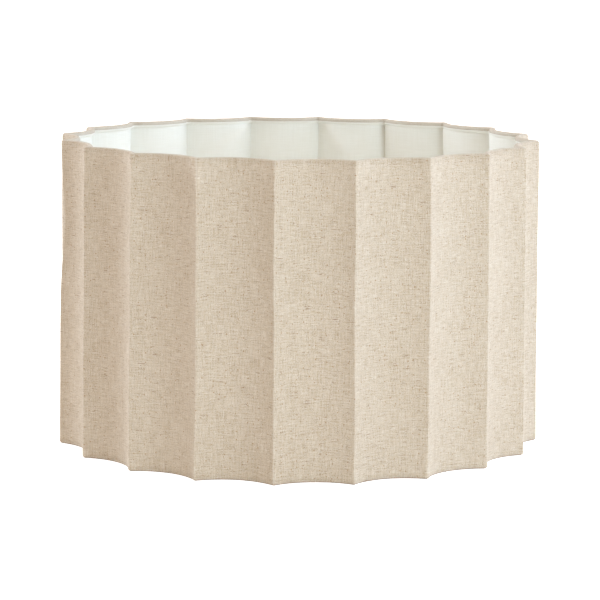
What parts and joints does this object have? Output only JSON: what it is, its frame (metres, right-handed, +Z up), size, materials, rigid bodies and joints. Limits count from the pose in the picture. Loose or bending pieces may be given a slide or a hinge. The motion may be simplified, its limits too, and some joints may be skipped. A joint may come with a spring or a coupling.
{
  "type": "lamp shade",
  "caption": "Scalloped drum lamp shade in natural linen with a white lining, rolled rims on wire rings and a low wire fitter for a lamp holder.",
  "frame": {"origin": "on the shade's axis at the height of its bottom edge", "axes": "+Z up along the axis, with a ridge on each of the X and Y axes"},
  "size_m": [0.4, 0.4, 0.252],
  "materials": {
    "linen": "plain weave with slubs",
    "backing": "clear matt sheet",
    "lining": "fine plain weave",
    "wire": "white powder coat"
  },
  "bodies": {
    "root": {"linen_cover": "linen", "backing_sheet": "backing", "lining": "lining", "top_ring": "wire", "bottom_ring": "wire", "fitter_ring": "wire", "fitter_arm_1": "wire", "fitter_arm_2": "wire", "fitter_arm_3": "wire", "fitter_arm_4": "wire"}
  },
  "joints": []
}
